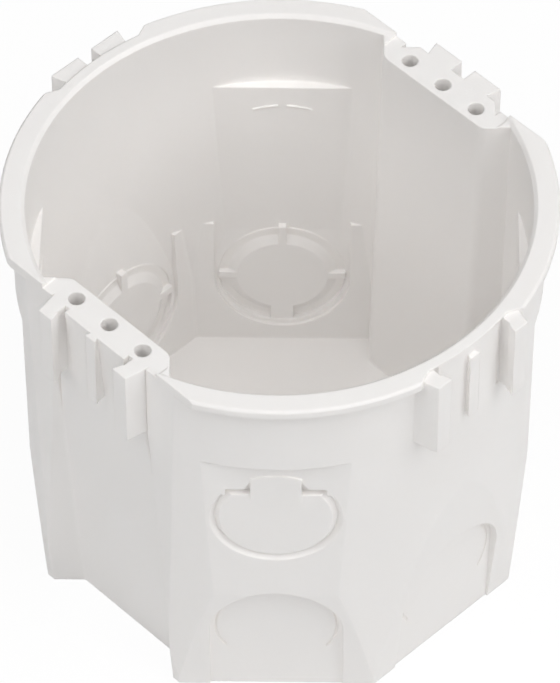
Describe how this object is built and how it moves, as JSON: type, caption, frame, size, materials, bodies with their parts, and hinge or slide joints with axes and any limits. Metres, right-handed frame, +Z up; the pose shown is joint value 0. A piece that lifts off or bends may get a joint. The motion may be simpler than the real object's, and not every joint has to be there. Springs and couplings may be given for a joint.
{
  "type": "socket back box",
  "caption": "Round flush-mounting wall box for a switch or socket, one plastic moulding with screw walls, cable knock-outs and dovetail lugs that couple boxes side by side.",
  "frame": {"origin": "centre of the base, on the surface the box stands on", "axes": "+Z up out of the open mouth; +X through the two screw walls towards the one with wide coupling lugs; +Y towards the round side with wide coupling lugs"},
  "size_m": [0.0696, 0.0738, 0.0618],
  "materials": {
    "white_plastic": "satin"
  },
  "bodies": {
    "root": {"back_box": "white_plastic"}
  },
  "joints": []
}
